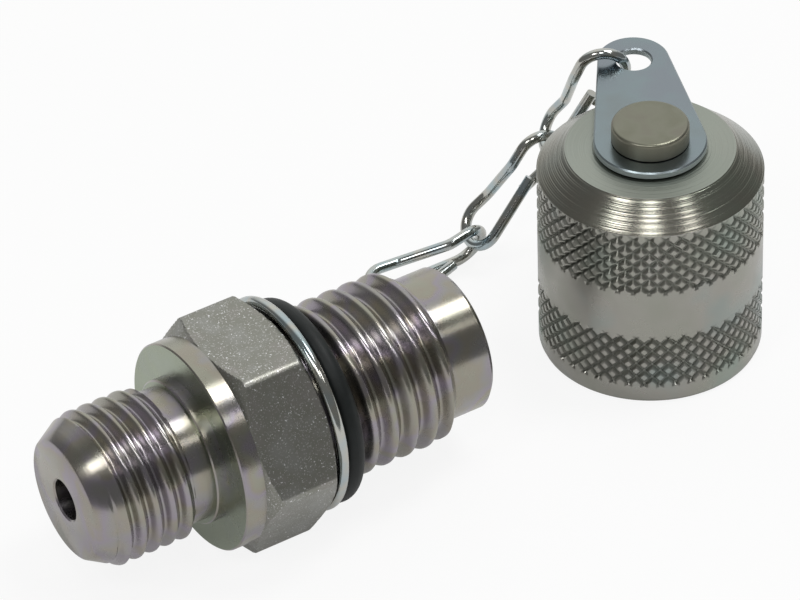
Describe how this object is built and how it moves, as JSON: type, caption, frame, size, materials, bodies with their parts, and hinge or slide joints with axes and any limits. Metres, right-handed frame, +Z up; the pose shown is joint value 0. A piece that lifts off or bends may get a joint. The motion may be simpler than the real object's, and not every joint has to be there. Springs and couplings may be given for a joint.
{
  "type": "test point coupling",
  "caption": "Screw-in hydraulic test coupling with a self-closing valve, a spanner hexagon and a knurled protective cap held on a wire chain.",
  "frame": {"origin": "on the coupling's axis in the plane of its sealing face", "axes": "+X along the coupling's axis from the stud to the test end, +Z up with the coupling lying on a flat of its hexagon, +Y to the side where the chain lies"},
  "size_m": [0.0704, 0.0316, 0.0236],
  "materials": {
    "zinc_body": "zinc plated, faint iridescent tints",
    "zinc_cap": "zinc plated, fine turning lines",
    "tab_zinc": "satin zinc plated sheet",
    "rivet_steel": "satin, warm nickel grey",
    "bright_zinc": "bright zinc plated wire",
    "plain_steel": "plain machined",
    "spring_steel": "drawn wire",
    "seal_rubber": "matt black"
  },
  "bodies": {
    "coupling": {"coupling_body": "zinc_body", "dust_seal_ring": "seal_rubber", "valve_insert": "plain_steel", "insert_seal": "seal_rubber", "probe_seal": "seal_rubber", "valve_spring": "spring_steel"},
    "poppet": {"valve_poppet": "plain_steel", "poppet_seal": "seal_rubber"},
    "ring": {"chain_ring": "bright_zinc"},
    "link_1": {"chain_link_1": "bright_zinc"},
    "link_2": {"chain_link_2": "bright_zinc"},
    "link_3": {"chain_link_3": "bright_zinc"},
    "link_4": {"chain_link_4": "bright_zinc"},
    "link_5": {"chain_link_5": "bright_zinc"},
    "tab": {"chain_tab": "tab_zinc"},
    "cap": {"cap_shell": "zinc_cap", "tab_rivet": "rivet_steel"}
  },
  "joints": [
    {"name": "valve_slide", "type": "slide", "parent": "coupling", "child": "poppet", "axis": [-1, 0, 0], "range_m": [0, 0.0018], "stiffness_N_per_m": 500, "springref_m": -0.003, "deforming": ["valve_spring"]},
    {"name": "ring_turn", "type": "hinge", "parent": "coupling", "child": "ring", "pos_m": [0.00965, 0, 0.0004], "axis": [1, 0, 0], "continuous": true},
    {"name": "link_1_swing", "type": "hinge", "parent": "ring", "child": "link_1", "pos_m": [0.00965, 0.0123, 0.0004], "axis": [0, 0, -1], "range_deg": [-50, 0]},
    {"name": "link_2_swing", "type": "hinge", "parent": "link_1", "child": "link_2", "pos_m": [0.01808, 0.01405, -0.00788], "axis": [0.6066, 0.2389, 0.7583], "range_deg": [-20, 15]},
    {"name": "link_3_swing", "type": "hinge", "parent": "link_2", "child": "link_3", "pos_m": [0.02975, 0.01654, -0.00691], "axis": [-0.0023, -0.0719, 0.9974], "range_deg": [-25, 45]},
    {"name": "link_4_swing", "type": "hinge", "parent": "link_3", "child": "link_4", "pos_m": [0.04128, 0.01821, -0.00704], "axis": [0.0569, -0.3373, 0.9397], "range_deg": [-20, 45]},
    {"name": "link_5_swing", "type": "hinge", "parent": "link_4", "child": "link_5", "pos_m": [0.04807, 0.01621, 0.0029], "axis": [-0.7745, 0.0278, 0.6319], "range_deg": [-30, 45]},
    {"name": "tab_swing", "type": "hinge", "parent": "link_5", "child": "tab", "pos_m": [0.05143, 0.01234, 0.0119], "axis": [0.4586, 0.8886, 0], "range_deg": [0, 30]},
    {"name": "cap_turn", "type": "hinge", "parent": "tab", "child": "cap", "pos_m": [0.04804, 0.00054, -0.0095], "axis": [0, 0, 1], "continuous": true}
  ]
}
